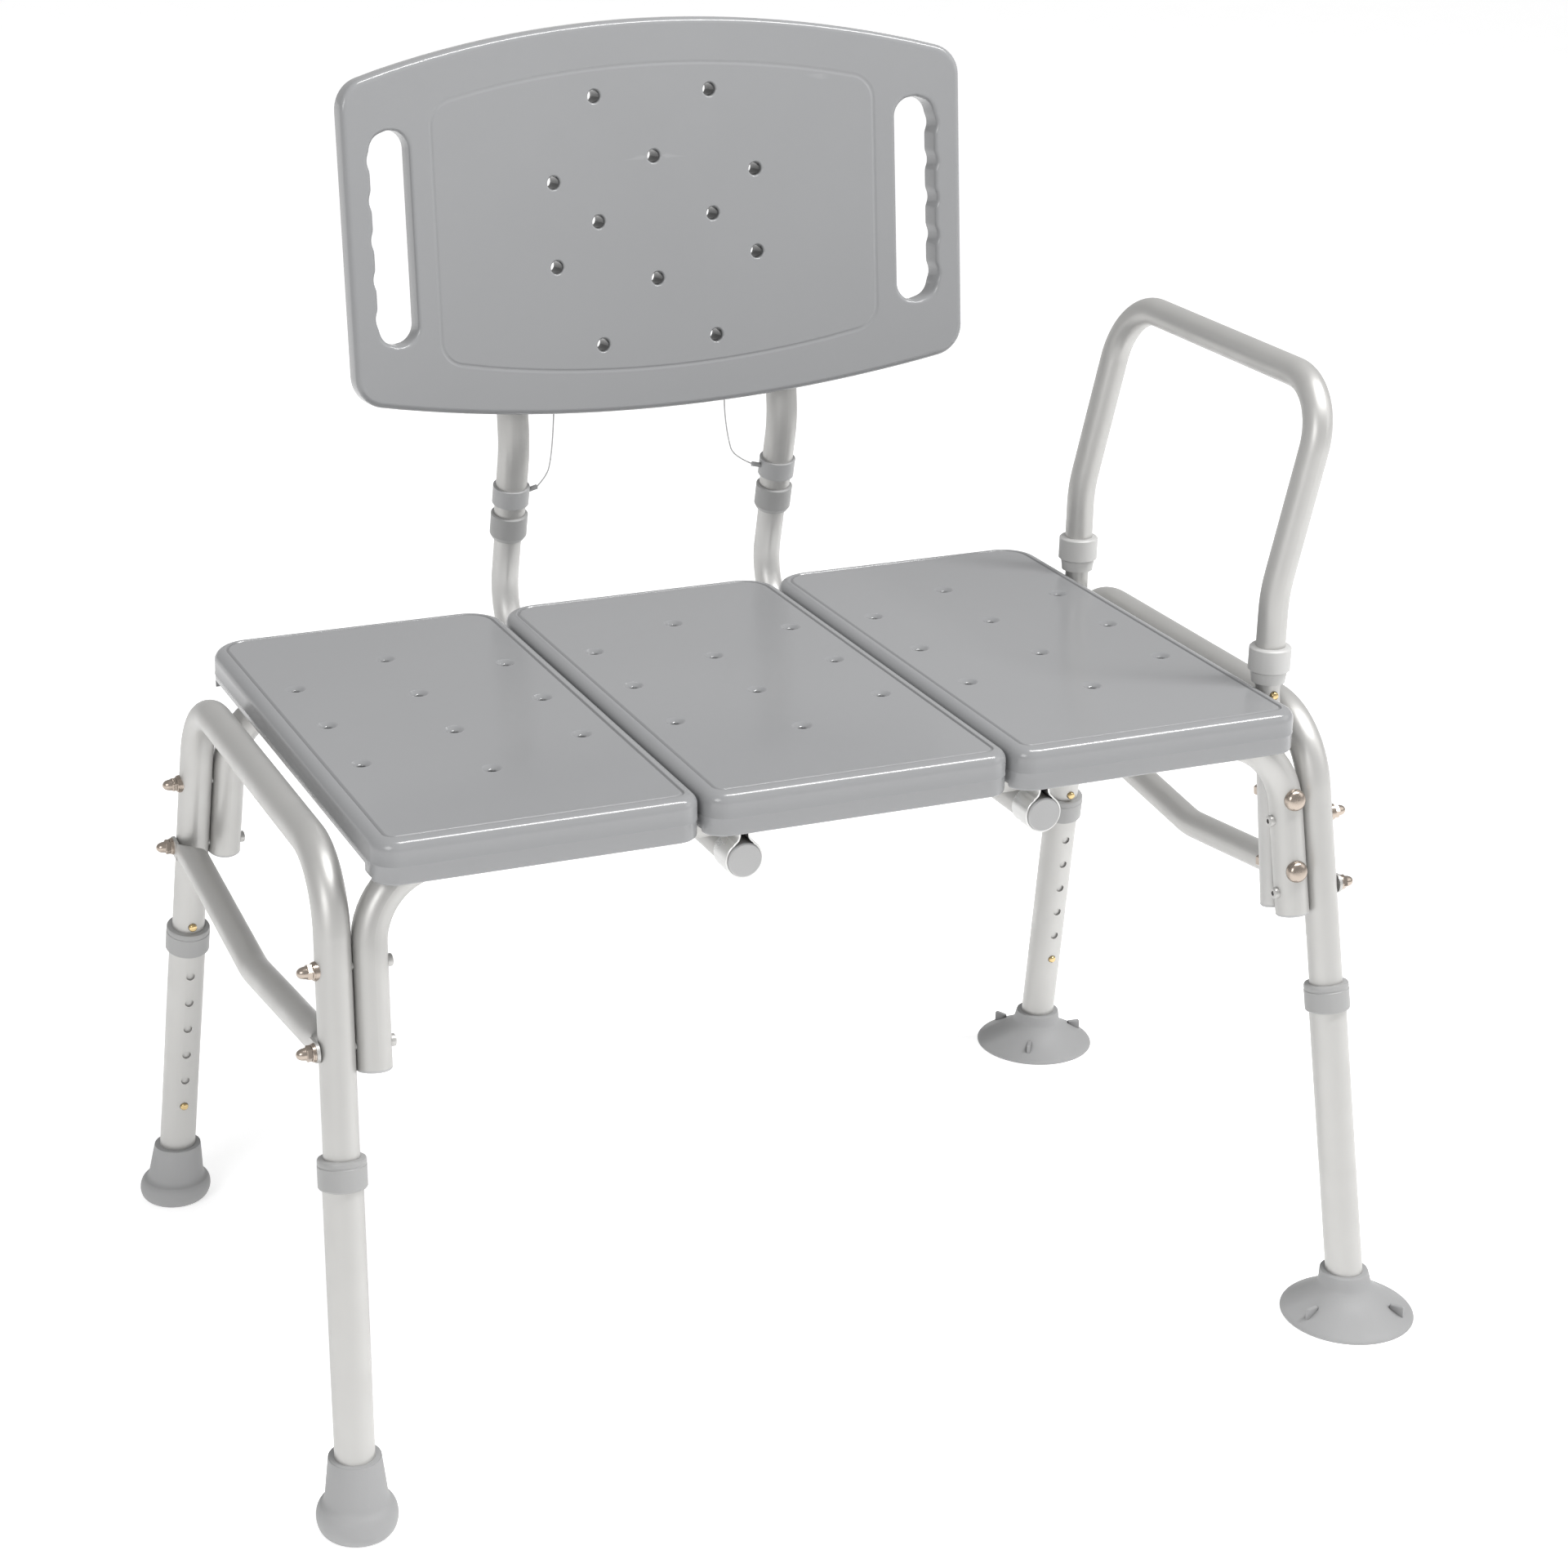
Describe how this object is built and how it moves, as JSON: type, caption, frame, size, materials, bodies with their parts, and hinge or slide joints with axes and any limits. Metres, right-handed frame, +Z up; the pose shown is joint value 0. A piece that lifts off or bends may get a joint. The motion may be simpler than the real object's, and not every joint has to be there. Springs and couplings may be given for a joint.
{
  "type": "bath transfer bench",
  "caption": "Bath transfer bench with split seat, backrest with side grips, grab bar, height-adjustable splayed legs, and rubber tips and suction-cup feet.",
  "frame": {"origin": "on the floor, at the middle of the bench's overall footprint", "axes": "+X along the seat towards the bath side with the grab bar, +Y from the front edge of the seat towards the backrest, +Z up"},
  "size_m": [0.8835, 0.6298, 0.9372],
  "materials": {
    "panel": "satin blow-moulded plastic",
    "tube": "satin anodised",
    "collar": "moulded",
    "tip": "matt grey rubber",
    "cup": "matt grey rubber",
    "button": "bright",
    "fastener": "nickel plated",
    "washer": "plain",
    "strap": "plain",
    "cap": "moulded",
    "clip": "moulded",
    "tether": "thin cord"
  },
  "bodies": {
    "frame": {"seat_panel_left": "panel", "seat_panel_middle": "panel", "seat_panel_right": "panel", "front_rail": "tube", "back_rail": "tube", "rail_end_caps": "cap", "leg_frame_left": "tube", "leg_frame_right": "tube", "brace_left": "tube", "brace_right": "tube", "frame_bolts": "fastener", "acorn_nuts": "fastener", "saddle_washers": "washer", "flat_washers": "washer", "grab_bar_post_front": "tube", "grab_bar_post_back": "tube", "grab_bar_post_caps": "cap", "grab_bar_post_bolts": "fastener", "grab_bar_post_nuts": "fastener", "backrest_receiver_left": "tube", "backrest_receiver_right": "tube", "receiver_end_caps": "cap", "receiver_clamps": "strap", "backrest_post_left": "tube", "backrest_post_right": "tube"},
    "leg_left_front": {"leg_extension_left_front": "tube", "leg_collar_left_front": "collar", "rubber_tip_left_front": "tip"},
    "button_upper_left_front": {"leg_button_upper_left_front": "button"},
    "button_lower_left_front": {"leg_button_lower_left_front": "button"},
    "leg_left_back": {"leg_extension_left_back": "tube", "leg_collar_left_back": "collar", "rubber_tip_left_back": "tip"},
    "button_upper_left_back": {"leg_button_upper_left_back": "button"},
    "button_lower_left_back": {"leg_button_lower_left_back": "button"},
    "leg_right_front": {"leg_extension_right_front": "tube", "leg_collar_right_front": "collar", "suction_cup_right_front": "cup"},
    "button_upper_right_front": {"leg_button_upper_right_front": "button"},
    "button_lower_right_front": {"leg_button_lower_right_front": "button"},
    "leg_right_back": {"leg_extension_right_back": "tube", "leg_collar_right_back": "collar", "suction_cup_right_back": "cup"},
    "button_upper_right_back": {"leg_button_upper_right_back": "button"},
    "button_lower_right_back": {"leg_button_lower_right_back": "button"},
    "grab_bar": {"grab_bar": "tube", "grab_bar_collars": "collar"},
    "button_grab_bar_front": {"grab_bar_button_front": "button"},
    "button_grab_bar_back": {"grab_bar_button_back": "button"},
    "backrest": {"backrest_panel": "panel", "backrest_tube_left": "tube", "backrest_tube_right": "tube", "backrest_collar_left": "collar", "backrest_collar_right": "collar", "lock_clip_left": "clip", "lock_clip_right": "clip", "tether_left": "tether", "tether_right": "tether"}
  },
  "joints": [
    {"name": "leg_slide_left_front", "type": "slide", "parent": "frame", "child": "leg_left_front", "axis": [-0.0422, -0.1851, -0.9818], "range_m": [0, 0.127]},
    {"name": "press_upper_left_front", "type": "slide", "parent": "frame", "child": "button_upper_left_front", "axis": [0.008, -0.9827, 0.1849], "range_m": [0, 0.003], "stiffness_N_per_m": 400, "springref_m": -0.001},
    {"name": "press_lower_left_front", "type": "slide", "parent": "leg_left_front", "child": "button_lower_left_front", "axis": [0.008, -0.9827, 0.1849], "range_m": [0, 0.0026], "stiffness_N_per_m": 400, "springref_m": -0.001},
    {"name": "leg_slide_left_back", "type": "slide", "parent": "frame", "child": "leg_left_back", "axis": [-0.0422, 0.1851, -0.9818], "range_m": [0, 0.127]},
    {"name": "press_upper_left_back", "type": "slide", "parent": "frame", "child": "button_upper_left_back", "axis": [0.008, 0.9827, 0.1849], "range_m": [0, 0.003], "stiffness_N_per_m": 400, "springref_m": -0.001},
    {"name": "press_lower_left_back", "type": "slide", "parent": "leg_left_back", "child": "button_lower_left_back", "axis": [0.008, 0.9827, 0.1849], "range_m": [0, 0.0026], "stiffness_N_per_m": 400, "springref_m": -0.001},
    {"name": "leg_slide_right_front", "type": "slide", "parent": "frame", "child": "leg_right_front", "axis": [0.0422, -0.1851, -0.9818], "range_m": [0, 0.127]},
    {"name": "press_upper_right_front", "type": "slide", "parent": "frame", "child": "button_upper_right_front", "axis": [-0.008, -0.9827, 0.1849], "range_m": [0, 0.003], "stiffness_N_per_m": 400, "springref_m": -0.001},
    {"name": "press_lower_right_front", "type": "slide", "parent": "leg_right_front", "child": "button_lower_right_front", "axis": [-0.008, -0.9827, 0.1849], "range_m": [0, 0.0026], "stiffness_N_per_m": 400, "springref_m": -0.001},
    {"name": "leg_slide_right_back", "type": "slide", "parent": "frame", "child": "leg_right_back", "axis": [0.0422, 0.1851, -0.9818], "range_m": [0, 0.127]},
    {"name": "press_upper_right_back", "type": "slide", "parent": "frame", "child": "button_upper_right_back", "axis": [-0.008, 0.9827, 0.1849], "range_m": [0, 0.003], "stiffness_N_per_m": 400, "springref_m": -0.001},
    {"name": "press_lower_right_back", "type": "slide", "parent": "leg_right_back", "child": "button_lower_right_back", "axis": [-0.008, 0.9827, 0.1849], "range_m": [0, 0.0026], "stiffness_N_per_m": 400, "springref_m": -0.001},
    {"name": "grab_bar_lift", "type": "slide", "parent": "frame", "child": "grab_bar", "axis": [0, 0, 1], "range_m": [0, 0.05]},
    {"name": "press_grab_bar_front", "type": "slide", "parent": "frame", "child": "button_grab_bar_front", "axis": [0, 1, 0], "range_m": [0, 0.003], "stiffness_N_per_m": 400, "springref_m": -0.001},
    {"name": "press_grab_bar_back", "type": "slide", "parent": "frame", "child": "button_grab_bar_back", "axis": [0, -1, 0], "range_m": [0, 0.003], "stiffness_N_per_m": 400, "springref_m": -0.001},
    {"name": "backrest_lift", "type": "slide", "parent": "frame", "child": "backrest", "axis": [0, -0.2218, 0.9751], "range_m": [0, 0.055]}
  ]
}
